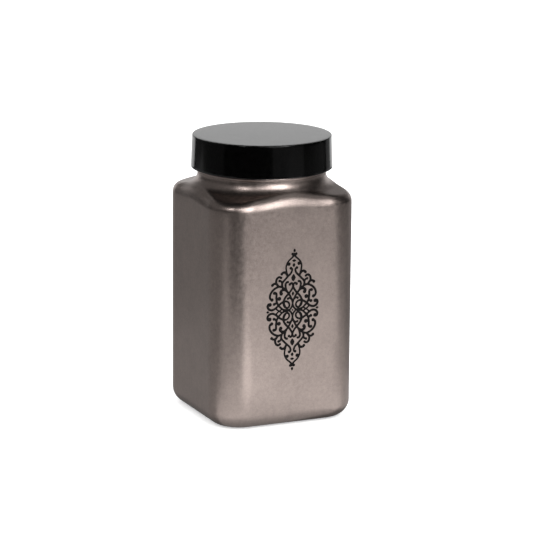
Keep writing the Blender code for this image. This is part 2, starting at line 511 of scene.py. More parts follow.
def turned_ring(radius: float, height: float, sides: int,
                relief: Callable[[float], float] | None = None) -> Ring:
    """One level ring about the screw axis.

    Args:
        radius: Its radius.
        height: Its height.
        sides: How many points it has.
        relief: What is added to the radius at each angle.

    Returns:
        The ring.
    """
    ring = []
    for side in range(sides):
        angle = FULL_TURN * side / sides
        reach = radius + (relief(angle) if relief else 0.0)
        ring.append(Vector((reach * math.cos(angle), reach * math.sin(angle), height)))
    return ring


def settle(piece: bpy.types.Object, finish: bpy.types.Material, body: Body) -> bpy.types.Object:
    """Dress a piece and let it ride on its body.

    Args:
        piece: The piece.
        finish: Its material.
        body: The body that carries it.

    Returns:
        The same piece.
    """
    piece.data.materials.append(finish)
    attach(piece, body.value)
    log.info("made %s: %d faces, rides on %s", piece.name, len(piece.data.polygons), body.value)
    return piece


@dataclass(frozen=True)
class ScrewThread:
    """Helical ridges on a round wall, the same section on the neck and in the lid."""

    start_angle: float
    start_height: float
    turn: float
    starts: int = 2
    lead: float = 12.0 * MM
    height: float = 1.2 * MM
    root_width: float = 2.9 * MM
    crest_width: float = 0.9 * MM
    fade: float = math.radians(26.0)

    def relief(self, angle: float, height: float) -> float:
        """How far the ridges stand out of their wall.

        Args:
            angle: The angle about the screw axis.
            height: The height above the floor.

        Returns:
            The relief there, 0 between the ridges.
        """
        most = 0.0
        for start in range(self.starts):
            along = (angle - self.start_angle - FULL_TURN * start / self.starts) % FULL_TURN
            if along > self.turn:
                continue
            away = abs(height - self.start_height - self.lead * along / FULL_TURN)
            section = smooth_step(away, self.root_width / 2, self.crest_width / 2)
            end = min(along, self.turn - along)
            most = max(most, self.height * section * smooth_step(end, 0.0, self.fade))
        return most


@dataclass(frozen=True)
class SquarePlan:
    """Plan of the rounded square jar, cut into columns that all its rings share."""

    half_side: float
    corner_radius: float
    least_corner: float = 1.0 * MM
    flat_steps: int = 48
    corner_steps: int = 36

    def outline(self, inset: float) -> list[Vector]:
        """Points of the plan drawn in by an inset, counted from the +X face towards +Y.

        Args:
            inset: How far it is drawn in.

        Returns:
            The points, the same number for every inset.
        """
        corner = max(self.corner_radius - inset, self.least_corner)
        half_flat = self.half_side - inset - corner
        points = []
        for side in range(4):
            ahead = Vector((math.cos(side * QUARTER_TURN), math.sin(side * QUARTER_TURN)))
            across = Vector((-ahead.y, ahead.x))
            for step in range(self.flat_steps):
                along = half_flat * (2 * step / self.flat_steps - 1)
                points.append(ahead * (self.half_side - inset) + across * along)
            for step in range(self.corner_steps):
                angle = QUARTER_TURN * step / self.corner_steps
                reach = half_flat + corner * math.cos(angle)
                along = half_flat + corner * math.sin(angle)
                points.append(ahead * reach + across * along)
        return points

    def corner_reach(self) -> float:
        """How far the middle of a corner stands from the axis."""
        return (self.half_side - self.corner_radius) * math.sqrt(2) + self.corner_radius

    def level(self, inset: float, height: float) -> Ring:
        """One level ring of the body, at an inset and a height."""
        return [Vector((point.x, point.y, height)) for point in self.outline(inset)]


@dataclass(frozen=True)
class JarShell:
    """The jar's outer or inner surface, as rings at one depth below the outside."""

    plan: SquarePlan
    depth: float
    floor: float
    heel_radius: float
    corner_edge: float
    middle_edge: float
    corner_fillet: float
    middle_fillet: float
    neck_radius: float
    shoulder_top: float
    shoulder_slope: float = math.radians(12.0)
    heel_steps: int = 18
    side_steps: int = 24
    edge_steps: int = 14
    fillet_steps: int = 18

    def heel(self) -> list[Ring]:
        """Round the edge between the floor and the side.

        Returns:
            Its rings, from the floor up.
        """
        rings = []
        for step in range(self.heel_steps + 1):
            angle = QUARTER_TURN * step / self.heel_steps
            inset = self.depth + self.heel_radius * (1 - math.sin(angle))
            rings.append(self.plan.level(inset, self.floor + self.heel_radius * (1 - math.cos(angle))))
        return rings

    def roundings(self, room: float) -> tuple[float, float]:
        """Radii of the shoulder's rounded edge and of the fillet into the neck, over a column.

        Args:
            room: How far the side stands outside the neck there.

        Returns:
            The edge's radius, largest over the middle of a face, and the fillet's, largest over a corner.
        """
        middle_room = self.plan.half_side - self.depth - self.neck_radius
        corner_room = self.plan.corner_reach() - self.depth - self.neck_radius
        share = (room - middle_room) / (corner_room - middle_room)
        edge = self.middle_edge + (self.corner_edge - self.middle_edge) * share
        return edge, self.middle_fillet + (self.corner_fillet - self.middle_fillet) * share

    def section(self, side_radius: float) -> list[Vector]:
        """Half section of the side and the shoulder over one column, up to the foot of the neck.

        Where the side stands close to the neck, as in the middle of a face, the rounded edge and the fillet
        meet and the slope between them turns steeper.

        Args:
            side_radius: How far the side stands from the axis at that column.

        Returns:
            Points of a radius and a height each.
        """
        slope = self.shoulder_slope
        room = side_radius - self.neck_radius
        edge_radius, fillet_radius = self.roundings(room)
        rounds = edge_radius + fillet_radius
        run = room - rounds * (1 - math.sin(slope))
        if run < 0:
            slope = math.asin(1 - room / rounds)
            run = 0
        fillet_centre = Vector((self.neck_radius + fillet_radius, self.shoulder_top))
        edge_height = self.shoulder_top - rounds * math.cos(slope) - run * math.tan(slope)
        edge_centre = Vector((side_radius - edge_radius, edge_height))
        foot = self.floor + self.heel_radius
        rises = (foot + (edge_height - foot) * step / self.side_steps for step in range(1, self.side_steps))
        side = [Vector((side_radius, height)) for height in rises]
        on_edge = arc(edge_centre, edge_radius, 0, QUARTER_TURN - slope, self.edge_steps)
        on_fillet = arc(fillet_centre, fillet_radius, 1.5 * math.pi - slope, math.pi, self.fillet_steps)
        return side + on_edge + on_fillet

    def side_and_shoulder(self) -> list[Ring]:
        """Raise the side and the shoulder.

        Returns:
            Their rings, from the heel up to the foot of the neck.
        """
        columns = []
        for point in self.plan.outline(self.depth):
            outward = point.normalized()
            section = self.section(point.length)
            columns.append([Vector((*(outward * radius), height)) for radius, height in section])
        return [list(ring) for ring in zip(*columns)]

    def round_ring(self, radius: float, height: float) -> Ring:
        """One round ring of the neck that keeps the plan's columns."""
        outline = self.plan.outline(self.depth)
        return [Vector((*(point.normalized() * radius), height)) for point in outline]


@dataclass
class GlassJar:
    """The blown glass jar, its neck with the screw thread, and the lacquer sprayed over its outside."""

    node: str = "jar"
    corner_radius: float = 20.8 * MM
    heel_radius: float = 9.6 * MM
    wall: float = 3.2 * MM
    bearing_width: float = 4.4 * MM
    push_up_run: float = 5.0 * MM
    push_up_height: float = 1.8 * MM
    base_thickness: float = 4.2 * MM
    corner_edge: float = 5.5 * MM
    middle_edge: float = 11.4 * MM
    corner_fillet: float = 8.4 * MM
    middle_fillet: float = 7.0 * MM
    least_fillet: float = 0.5 * MM
    neck_radius: float = 39.25 * MM
    neck_height: float = 19.2 * MM
    lip_round: float = 1.1 * MM
    lip_steps: int = 8
    bead_height: float = 1.9 * MM
    bead_reach: float = 0.45 * MM
    bead_half: float = 0.9 * MM
    thread_below_lip: float = 3.4 * MM
    thread_turn: float = math.radians(216.0)
    thread_start: float = math.radians(20.0)
    neck_step: float = 0.18 * MM
    edge_samples: int = 360
    coat_depth: float = 0.05 * MM
    glass_depth: float = 0.07 * MM
    coat_above_shoulder: float = 5.6 * MM
    coat_ragged: float = 0.35 * MM
    coat_ragged_size: float = 2.2 * MM
    stipple_depth: float = 0.25 * MM
    stipple_columns: int = 4
    stipple_margin: float = 0.05
    stipple_fade: float = 0.2
    bearing_steps: int = 8
    push_up_steps: int = 6
    centre_radius: float = 2.0 * MM
    centre_steps: int = 6

    def __post_init__(self) -> None:
        """Read the overall sizes from the frame."""
        low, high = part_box(self.node)
        self.plan = SquarePlan((high.x - low.x) / 2, self.corner_radius)
        self.lip_top = high.z
        self.shoulder_top = self.lip_top - self.neck_height
        lead = ScrewThread.lead
        start_height = self.lip_top - self.thread_below_lip - lead * self.thread_turn / FULL_TURN
        self.thread = ScrewThread(self.thread_start, start_height, self.thread_turn)

    def shell(self, depth: float) -> JarShell:
        """Offset the jar's surface inwards.

        Args:
            depth: How far below the outside it runs.

        Returns:
            The surface.
        """
        return JarShell(self.plan, depth, depth, self.heel_radius - depth, self.corner_edge - depth,
                        self.middle_edge - depth, self.corner_fillet + depth, self.middle_fillet + depth,
                        self.neck_radius - depth, self.shoulder_top)

    def inner_shell(self) -> JarShell:
        """Offset the jar's surface to its inside.

        Returns:
            The surface, a wall's thickness in and over the thicker base.
        """
        heel_radius = max(self.heel_radius - self.wall, self.least_fillet)
        return replace(self.shell(self.wall), floor=self.push_up_height + self.base_thickness,
                       heel_radius=heel_radius)

    def underside(self, depth: float) -> list[Ring]:
        """Shape the pushed-up base and the stippled ring that it stands on.

        Args:
            depth: How far below the outside it lies.

        Returns:
            The rings, from the middle out.
        """
        bearing_end = self.heel_radius + self.bearing_width
        push_up_end = bearing_end + self.push_up_run
        centre = self.plan.half_side - self.centre_radius
        rings = []
        for step in range(self.centre_steps):
            inset = centre + (push_up_end - centre) * step / self.centre_steps
            rings.append(self.plan.level(inset, self.push_up_height + depth))
        for step in range(self.push_up_steps):
            inset = push_up_end - self.push_up_run * step / self.push_up_steps
            rise = self.push_up_height * smooth_step(inset, bearing_end, push_up_end)
            rings.append(self.plan.level(inset, rise + depth))
        for step in range(self.bearing_steps):
            share = step / self.bearing_steps
            ring = self.plan.level(bearing_end - self.bearing_width * share, depth)
            full = self.stipple_margin + self.stipple_fade
            window = smooth_step(share, self.stipple_margin, full)
            window *= smooth_step(share, 1 - self.stipple_margin, 1 - full)
            for column, point in enumerate(ring):
                wave = 0.5 - 0.5 * math.cos(FULL_TURN * column / self.stipple_columns)
                point.z += self.stipple_depth * window * wave
            rings.append(ring)
        return rings

    def bead(self, height: float) -> float:
        """How far the bead under the lid stands out of the neck at a height."""
        away = abs(height - self.shoulder_top - self.bead_height)
        return self.bead_reach * math.sqrt(max(0.0, 1 - (away / self.bead_half) ** 2))

    def neck(self, shell: JarShell, top: Callable[[float], float]) -> list[Ring]:
        """Rings of the neck with its bead and its thread, from its foot up to a top edge.

        Args:
            shell: The surface that the neck goes on with.
            top: The height of the top edge at each angle.

        Returns:
            The rings, from the first above the foot.
        """
        angles = (FULL_TURN * side / self.edge_samples for side in range(self.edge_samples))
        lowest = min(top(angle) for angle in angles)
        steps = round((lowest - self.shoulder_top) / self.neck_step)
        columns = []
        for point in self.plan.outline(shell.depth):
            angle = math.atan2(point.y, point.x)
            column = []
            for step in range(1, steps + 1):
                height = self.shoulder_top + (top(angle) - self.shoulder_top) * step / steps
                reach = shell.neck_radius + self.bead(height) + self.thread.relief(angle, height)
                column.append(Vector((*(point.normalized() * reach), height)))
            columns.append(column)
        return [list(ring) for ring in zip(*columns)]

    def lip(self, outer: JarShell, inner: JarShell) -> list[Ring]:
        """Round the lip over.

        Args:
            outer: The glass's outer surface.
            inner: The surface of its inside.

        Returns:
            The rings, from its outer side to its bore.
        """
        height = self.lip_top - outer.depth - self.lip_round
        outer_centre = Vector((outer.neck_radius - self.lip_round, height))
        inner_centre = Vector((inner.neck_radius + self.lip_round, height))
        rings = []
        for radius, level in arc(outer_centre, self.lip_round, 0, QUARTER_TURN, self.lip_steps)[1:]:
            rings.append(outer.round_ring(radius, level))
        for radius, level in arc(inner_centre, self.lip_round, QUARTER_TURN, math.pi, self.lip_steps):
            rings.append(inner.round_ring(radius, level))
        return rings

    def coat_edge(self, angle: float) -> float:
        """Height of the lacquer's ragged upper edge, where the neck was masked."""
        spot = Vector((math.cos(angle), math.sin(angle), 0)) * self.neck_radius / self.coat_ragged_size
        return self.shoulder_top + self.coat_above_shoulder + self.coat_ragged * noise.noise(spot)

    def build_glass(self) -> bpy.types.Object:
        """Make the clear glass under the lacquer, with its bare screw neck and lip.

        Returns:
            The glass.
        """
        outer = self.shell(self.glass_depth)
        inner = self.inner_shell()
        straight_top = self.lip_top - self.glass_depth - self.lip_round
        rings = self.underside(self.glass_depth) + outer.heel() + outer.side_and_shoulder()
        rings += self.neck(outer, lambda angle: straight_top)
        rings += self.lip(outer, inner)
        centre = inner.plan.level(self.plan.half_side - self.centre_radius, inner.floor)
        rings += list(reversed([centre] + inner.heel() + inner.side_and_shoulder()))
        return skin("glass_body", rings)

    def build_coat(self) -> bpy.types.Object:
        """Make the film of lacquer over the underside, the sides, the shoulder and the foot of the neck.

        Returns:
            The coat.
        """
        film = []
        for depth in (0.0, self.coat_depth):
            shell = self.shell(depth)
            face = self.underside(depth) + shell.heel() + shell.side_and_shoulder()
            film.append(face + self.neck(shell, self.coat_edge))
        return skin("lacquer_coat", film[0] + list(reversed(film[1])))

    def build(self, lacquer: MetallicLacquer, glass: ClearGlass) -> None:
        """Make the glass and its coat in place of the frame's jar.

        Args:
            lacquer: The coat's finish.
            glass: The glass's finish.
        """
        body = settle(self.build_glass(), glass.material(), Body.JAR)
        coat = settle(self.build_coat(), lacquer.material(), Body.JAR)
        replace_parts(body, self.node)
        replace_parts(coat, self.node)


@dataclass(frozen=True)
class Span:
    """A short straight run of ink with round ends, its half width changing evenly from end to end."""

    start: Vector
    end: Vector
    start_half: float
    end_half: float

    def covers(self, point: Vector, slack: float) -> bool:
        """Tell whether a point lies in the ink.

        Args:
            point: The point.
            slack: How far outside the ink still counts.

        Returns:
            Whether it does.
        """
        run = self.end - self.start
        length = run.length_squared
        share = min(1.0, max(0.0, (point - self.start).dot(run) / length)) if length else 0.0
        half = self.start_half + (self.end_half - self.start_half) * share
        return (point - self.start - run * share).length <= half + slack


@dataclass(frozen=True)
class Stroke:
    """One stroke of the scrollwork's quarter: a smooth line that swells along its length.

    Points are in millimetres from the ornament's middle, to the right and up. The half widths are spread
    evenly along the stroke. A ball of some radius may close either end. The wet ink spreads a little past
    all of them.
    """

    points: tuple[tuple[float, float], ...]
    half_widths: tuple[float, ...]
    start_ball: float = 0.0
    end_ball: float = 0.0
    ink_spread: float = 0.055
    step: float = 0.18

    def spine(self) -> list[Vector]:
        """Draw the smooth line through the stroke's own points.

        Returns:
            Points of the line, about a step apart.
        """
        given = [Vector(point) for point in self.points]
        ends = [2 * given[0] - given[1]] + given + [2 * given[-1] - given[-2]]
        line = []
        for before, here, after, beyond in zip(ends, ends[1:], ends[2:], ends[3:]):
            pieces = max(1, round((after - here).length / self.step))
            for piece in range(pieces):
                share = piece / pieces
                bend = (2 * before - 5 * here + 4 * after - beyond) * share ** 2
                turn = (3 * here - before - 3 * after + beyond) * share ** 3
                line.append((2 * here + (after - before) * share + bend + turn) / 2)
        return line + [given[-1]]

    def half_width(self, share: float) -> float:
        """Read the half width along the stroke.

        Args:
            share: How far along its length, from 0 to 1.

        Returns:
            The half width there.
        """
        place = share * (len(self.half_widths) - 1)
        left = min(int(place), len(self.half_widths) - 2)
        return self.half_widths[left] + (self.half_widths[left + 1] - self.half_widths[left]) * (place - left)

    def spans(self) -> list[Span]:
        """Cut the stroke into short straight spans of ink.

        Returns:
            The spans along the line, and last its two end balls as spans with no length.
        """
        line = self.spine()
        count = len(line) - 1
        wide = [self.half_width(index / count) + self.ink_spread for index in range(count + 1)]
        spans = [Span(*pair) for pair in zip(line, line[1:], wide, wide[1:])]
        for spot, ball, half in ((line[0], self.start_ball, wide[0]), (line[-1], self.end_ball, wide[-1])):
            radius = max(ball + self.ink_spread, half)
            spans.append(Span(spot, spot, radius, radius))
        return spans

    def edges(self) -> list[list[Vector]]:
        """Draw the lines that bound the ink.

        Returns:
            The stroke's two sides and the rounds at its ends.
        """
        spans = self.spans()
        run, ends = spans[:-2], spans[-2:]
        sides: list[list[Vector]] = [[], []]
        for index in range(len(run) + 1):
            before, after = run[max(index - 1, 0)], run[min(index, len(run) - 1)]
            along = after.end - before.start
            spot = after.start if index < len(run) else after.end
            wide = after.start_half if index < len(run) else after.end_half
            across = Vector((-along.y, along.x)).normalized() * wide
            sides[0].append(spot + across)
            sides[1].append(spot - across)
        return sides + [disc(end.start, end.start_half) for end in ends]


def disc(centre: Vector, radius: float, sides: int = 28) -> list[Vector]:
    """Points of a round dot."""
    angles = (FULL_TURN * side / sides for side in range(sides + 1))
    return [centre + radius * Vector((math.cos(angle), math.sin(angle))) for angle in angles]


@dataclass(frozen=True)
class Lozenge:
    """A small lozenge with slightly bowed sides on the ornament's upright middle line, in millimetres."""

    height: float
    half_width: float
    half_height: float
    bow: float = 1.3
    steps: int = 8

    def covers(self, point: Vector, slack: float) -> bool:
        """Tell whether a point lies in the lozenge.

        Args:
            point: The point.
            slack: How far outside the lozenge still counts.

        Returns:
            Whether it does.
        """
        across = abs(point.x) / (self.half_width + slack)
        up = abs(point.y - self.height) / (self.half_height + slack)
        return across ** self.bow + up ** self.bow <= 1

    def edges(self) -> list[list[Vector]]:
        """Draw the line that bounds the lozenge.

        Returns:
            The one closed line.
        """
        line = []
        for step in range(4 * self.steps + 1):
            angle = QUARTER_TURN * step / self.steps
            across, up = math.cos(angle), math.sin(angle)
            reach = (abs(across) ** self.bow + abs(up) ** self.bow) ** (-1 / self.bow)
            aside, rise = self.half_width * across * reach, self.half_height * up * reach
            line.append(Vector((aside, self.height + rise)))
        return [line]


SCROLLWORK: dict[str, Stroke] = {
    "finial_drop": Stroke(((0, 37.0), (0, 36.4)), (0.5, 0.55), 0.6, 0.75),
    "finial_stem": Stroke(((0, 35.0), (0, 34.0), (0, 33.2)), (0.3, 0.5, 0.3)),
    "lantern": Stroke(
        ((1.15, 34.5), (0.75, 33.9), (0.6, 33.3), (1.1, 32.6), (2.0, 31.8), (3.0, 31.0), (3.9, 30.0),
         (4.6, 28.8), (5.0, 27.5), (5.1, 26.2), (4.95, 25.0), (4.7, 23.8), (4.3, 22.6), (3.9, 21.4)),
        (0.6, 0.5, 0.5, 0.5, 0.5), 0.85),
    "lantern_dot": Stroke(((4.9, 28.0), (4.1, 28.4), (3.3, 28.5)), (0.5, 0.6), 0.0, 1.05),
    "inner_hook": Stroke(
        ((2.0, 25.9), (1.35, 25.7), (1.05, 24.9), (1.25, 23.9), (1.8, 22.8), (2.7, 21.9), (3.8, 20.9),
         (4.8, 19.9), (5.7, 19.0), (6.6, 18.1), (7.3, 17.1), (7.4, 16.1), (7.2, 15.0)),
        (0.6, 0.6, 0.6, 0.7), 0.85),
    "upper_curl": Stroke(
        ((3.8, 21.2), (4.5, 22.4), (5.1, 23.2), (6.1, 23.6), (7.1, 23.4), (7.8, 22.8)),
        (0.7, 0.75), 0.0, 0.85),
    "second_curl": Stroke(
        ((8.2, 20.5), (9.0, 21.0), (10.0, 20.9), (10.9, 20.1), (11.3, 18.9), (11.3, 17.6), (10.7, 16.6),
         (9.8, 15.5)),
        (0.65, 0.7), 0.75),
    "leaf_dot": Stroke(((7.4, 17.0), (7.8, 18.0), (8.4, 18.5), (9.1, 18.7)), (0.6, 0.6), 0.0, 0.8),
    "third_curl": Stroke(
        ((10.5, 16.4), (11.4, 17.0), (12.4, 17.2), (13.2, 16.9), (13.7, 16.4)),
        (0.6, 0.7), 0.0, 0.9),
    "big_scroll": Stroke(
        ((5.2, 13.0), (6.4, 14.0), (7.6, 14.8), (9.0, 15.1), (10.4, 14.9), (12.1, 14.1), (13.6, 12.9),
         (14.6, 11.5), (15.1, 10.1), (15.1, 8.7), (14.5, 7.8), (13.7, 7.4)),
        (0.65, 0.65, 0.7), 0.0, 1.0),
    "heart_arm": Stroke(
        ((2.2, 16.0), (1.5, 16.6), (0.8, 16.6), (0.3, 15.9), (0.1, 14.8), (0.5, 13.5), (1.5, 11.9),
         (2.8, 10.3), (4.1, 9.1), (5.1, 7.8), (5.8, 6.4), (6.0, 5.2)),
        (0.6, 0.6, 0.7), 0.85),
    "loop": Stroke(
        ((6.0, 5.2), (5.7, 3.6), (4.9, 2.2), (3.8, 1.5), (2.8, 1.8), (2.2, 2.8), (2.3, 4.1), (3.2, 5.2),
         (4.6, 5.7), (6.2, 5.5)),
        (0.7, 0.85, 0.6, 0.6, 0.55, 0.6, 0.65)),
    "tail": Stroke(
        ((6.2, 5.5), (7.8, 4.7), (9.5, 3.4), (10.8, 2.3), (12.3, 1.4), (13.8, 1.1), (15.2, 1.5),
         (16.2, 2.5), (16.5, 3.7), (15.9, 4.8), (15.0, 4.5)),
        (0.65, 0.65, 0.7, 0.75), 0.0, 1.15),
    "heart_outer": Stroke(
        ((3.6, 17.5), (4.3, 17.4), (4.9, 16.6), (5.1, 15.6), (4.9, 14.3), (4.5, 12.9), (3.7, 11.5),
         (2.8, 10.3), (1.9, 9.0), (1.2, 7.6), (0.5, 6.3), (0.1, 5.0), (0.0, 3.7), (0.4, 2.4), (1.1, 1.2),
         (2.1, 0.3)),
        (0.65, 0.6, 0.55), 0.75),
    "s_curl": Stroke(
        ((4.2, 12.0), (5.0, 12.7), (6.2, 13.0), (7.3, 12.7), (8.1, 11.9), (8.2, 11.1), (7.7, 10.7)),
        (0.7, 0.85, 0.7), 0.0, 1.1),
    "heart_hook": Stroke(((1.1, 7.2), (1.9, 7.6), (2.6, 7.6), (3.2, 7.3)), (0.75, 0.6, 0.5), 0.0, 0.75),
    "column": Stroke(
        ((12.3, 11.4), (11.5, 11.5), (10.9, 10.8), (10.8, 9.6), (10.9, 8.4), (10.7, 7.2), (10.6, 6.1),
         (11.0, 5.1), (12.2, 4.6)),
        (0.7, 0.65, 0.7), 0.95, 0.9),
    "column_foot": Stroke(
        ((10.4, 5.4), (9.9, 4.4), (9.4, 3.4), (8.3, 2.5), (7.1, 1.3), (5.9, 0.7), (4.6, 0.4), (3.2, 0.3),
         (2.1, 0.2)),
        (0.65, 0.55, 0.5)),
    "column_dot": Stroke(((10.5, 7.7), (8.9, 7.7)), (0.75, 0.9), 0.0, 1.2),
    "lattice_inner": Stroke(((7.0, 1.2), (8.0, 0.5), (8.9, 0.0)), (0.5, 0.45)),
    "lattice_outer": Stroke(((8.9, 0.0), (10.0, 0.8), (11.0, 1.9)), (0.45, 0.45, 0.6)),
    "waist": Stroke(((1.8, 0.0), (6.2, 0.0)), (0.5, 0.5, 0.4)),
    "tip": Stroke(((15.8, 0.0), (16.4, 0.0), (17.0, 0.0)), (0.4, 0.8, 0.3)),
}

LOZENGES: tuple[Lozenge, ...] = (
    Lozenge(30.4, 1.4, 0.85),
    Lozenge(27.65, 1.0, 1.3),
    Lozenge(19.9, 1.5, 2.3),
    Lozenge(10.1, 0.9, 1.4),
    Lozenge(0.0, 0.6, 0.6),
)


@dataclass
class PrintedLozenge:
    """The black scrollwork printed on the front face, one quarter mirrored both ways.

    Its half height, its drift and its slack are in millimetres, as its strokes are.
    """

    middle_height: float = 72.7 * MM
    half_height: float = 37.0
    drift: float = 1.0
    drift_power: float = 1.5
    film: float = 0.03 * MM
    sunk: float = 0.01 * MM
    same_point: float = 0.0005
    slack: float = 0.01

    def __post_init__(self) -> None:
        """Sort the quarter's spans by place, so that a point is tested against its neighbours alone."""
        self.spans = [span for stroke in SCROLLWORK.values() for span in stroke.spans()]
        self.reach = max(max(span.start_half, span.end_half) + Stroke.step for span in self.spans)
        self.near = KDTree(len(self.spans))
        for index, span in enumerate(self.spans):
            self.near.insert((*span.start, 0), index)
        self.near.balance()

    def inked(self, point: Vector) -> bool:
        """Tell whether a point of the whole ornament holds ink, from its mirror image in the quarter.

        Args:
            point: The point.

        Returns:
            Whether it does.
        """
        folded = Vector((abs(point.x), abs(point.y)))
        if any(shape.covers(folded, self.slack) for shape in LOZENGES):
            return True
        for image in (folded, Vector((-folded.x, folded.y)), Vector((folded.x, -folded.y))):
            close = self.near.find_range((*image, 0), self.reach)
            if any(self.spans[index].covers(image, self.slack) for _, index, _ in close):
                return True
        return False

    def triangles(self, lines: list[list[Vector]]) -> tuple[list[Vector], list[tuple[int, int, int]]]:
        """Cut the plane along lines and keep the triangles that hold ink.

        Args:
            lines: The lines, which may cross.

        Returns:
            The corners, and the triangles as numbers of corners.
        """
        points: list[Vector] = []
        edges: list[tuple[int, int]] = []
        for line in lines:
            first = len(points)
            points += line
            edges += [(index, index + 1) for index in range(first, len(points) - 1)]
        spots, _, faces, *_ = delaunay_2d_cdt(points, edges, [], 0, self.same_point)
        middles = [sum((spots[index] for index in face), Vector((0, 0))) / 3 for face in faces]
        return spots, [face for face, middle in zip(faces, middles) if self.inked(middle)]

    def outline(self) -> list[list[Vector]]:
        """Find where ink and bare lacquer meet, over the whole ornament.

        Returns:
            The lines, each of two points.
        """
        quarter = [line for shape in (*SCROLLWORK.values(), *LOZENGES) for line in shape.edges()]
        lines = []
        for across in (1, -1):
            for up in (1, -1):
                lines += [[Vector((point.x * across, point.y * up)) for point in line] for line in quarter]
        spots, faces = self.triangles(lines)
        uses: dict[frozenset[int], int] = {}
        for face in faces:
            for first, second in zip(face, (*face[1:], face[0])):
                side = frozenset((first, second))
                uses[side] = uses.get(side, 0) + 1
        return [[spots[index] for index in sorted(side)] for side, count in uses.items() if count == 1]

    def drifted(self, height: float) -> float:
        """How far the print strays to the right at a height over its middle, as the real transfer does."""
        return self.drift * (max(height, 0.0) / self.half_height) ** self.drift_power

    def build(self, ink: PrintInk) -> bpy.types.Object:
        """Join the strokes into one film of ink on the front of the jar.

        Args:
            ink: The ink's finish.

        Returns:
            The print.
        """
        spots, faces = self.triangles(self.outline())
        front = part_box(GlassJar.node)[0].y
        mesh = bpy.data.meshes.new("printed_lozenge")
        places = [((spot.x + self.drifted(spot.y)) * MM, front + self.sunk, self.middle_height + spot.y * MM)
                  for spot in spots]
        mesh.from_pydata(places, [], faces)
        shape = bmesh.new()
        shape.from_mesh(mesh)
        lone = [vertex for vertex in shape.verts if not vertex.link_faces]
        bmesh.ops.delete(shape, geom=lone, context="VERTS")
        raised = bmesh.ops.extrude_face_region(shape, geom=list(shape.faces), use_keep_orig=True)
        tops = [item for item in raised["geom"] if isinstance(item, bmesh.types.BMVert)]
        bmesh.ops.translate(shape, verts=tops, vec=(0, -self.film - self.sunk, 0))
        bmesh.ops.recalc_face_normals(shape, faces=shape.faces)
        shape.to_mesh(mesh)
        shape.free()
        return settle(put("printed_lozenge", mesh), ink.material(), Body.JAR)


@dataclass
class ScrewLid:
    """The black moulded screw lid, with the thread inside its skirt."""

    node: str = "lid"
    top_thickness: float = 2.2 * MM
    wall_at_top: float = 1.5 * MM
    wall_at_rim: float = 2.25 * MM
    top_edge_round: float = 0.45 * MM
    rim_round: float = 0.4 * MM
    inner_fillet: float = 0.5 * MM
    sides: int = 384
    edge_steps: int = 8
    skirt_steps: int = 16
    face_steps: int = 12
    centre_radius: float = 1.0 * MM
    thread_turn: float = math.radians(180.0)
    thread_start: float = math.radians(-10.0)
    thread_above_rim: float = 2.45 * MM
    inner_step: float = 0.2 * MM

    def __post_init__(self) -> None:
        """Read the overall sizes from the frame."""
        low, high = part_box(self.node)
        self.rim_radius = (high.x - low.x) / 2
        self.bottom = low.z
        self.top = high.z
        self.inner_radius = self.rim_radius - self.wall_at_rim
        self.top_radius = self.inner_radius + self.wall_at_top
        self.panel = self.top - self.top_thickness
        self.thread = ScrewThread(self.thread_start, self.bottom + self.thread_above_rim, self.thread_turn)

    def rings(self, section: Iterable[Vector]) -> list[Ring]:
        """Plain rings through a half section."""
        return [turned_ring(radius, height, self.sides) for radius, height in section]

    def inward(self, height: float, angle: float) -> float:
        """How far the thread stands out of the skirt's inside, counted away from the axis."""
        return -self.thread.relief(angle, height)

    def disc_face(self, radius: float, height: float) -> list[Ring]:
        """Lay a flat round face.

        Args:
            radius: Its radius.
            height: Its height.

        Returns:
            The rings, from its middle out.
        """
        reach = radius - self.centre_radius
        steps = range(self.face_steps)
        section = [Vector((self.centre_radius + reach * step / self.face_steps, height)) for step in steps]
        return self.rings(section)

    def build(self, moulding: GlossMoulding) -> bpy.types.Object:
        """Make the lid in place of the frame's.

        Args:
            moulding: The lid's finish.

        Returns:
            The lid.
        """
        top_edge = Vector((self.top_radius - self.top_edge_round, self.top - self.top_edge_round))
        outer_rim = Vector((self.rim_radius - self.rim_round, self.bottom + self.rim_round))
        inner_rim = Vector((self.inner_radius + self.rim_round, self.bottom + self.rim_round))
        corner = Vector((self.inner_radius - self.inner_fillet, self.panel - self.inner_fillet))
        skirt_top = Vector((self.top_radius, top_edge.y))
        skirt_foot = Vector((self.rim_radius, outer_rim.y))
        skirt = [skirt_top.lerp(skirt_foot, step / self.skirt_steps) for step in range(1, self.skirt_steps)]
        rings = self.disc_face(top_edge.x, self.top)
        rings += self.rings(arc(top_edge, self.top_edge_round, QUARTER_TURN, 0, self.edge_steps) + skirt)
        rings += self.rings(arc(outer_rim, self.rim_round, 0, -QUARTER_TURN, self.edge_steps))
        rings += self.rings(arc(inner_rim, self.rim_round, 1.5 * math.pi, math.pi, self.edge_steps))
        steps = round((corner.y - inner_rim.y) / self.inner_step)
        for step in range(1, steps):
            height = inner_rim.y + (corner.y - inner_rim.y) * step / steps
            rings.append(turned_ring(self.inner_radius, height, self.sides, partial(self.inward, height)))
        rings += self.rings(arc(corner, self.inner_fillet, 0, QUARTER_TURN, self.edge_steps))
        rings += reversed(self.disc_face(corner.x, self.panel))
        lid = settle(skin("screw_lid", rings), moulding.material(), Body.LID)
        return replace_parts(lid, self.node)


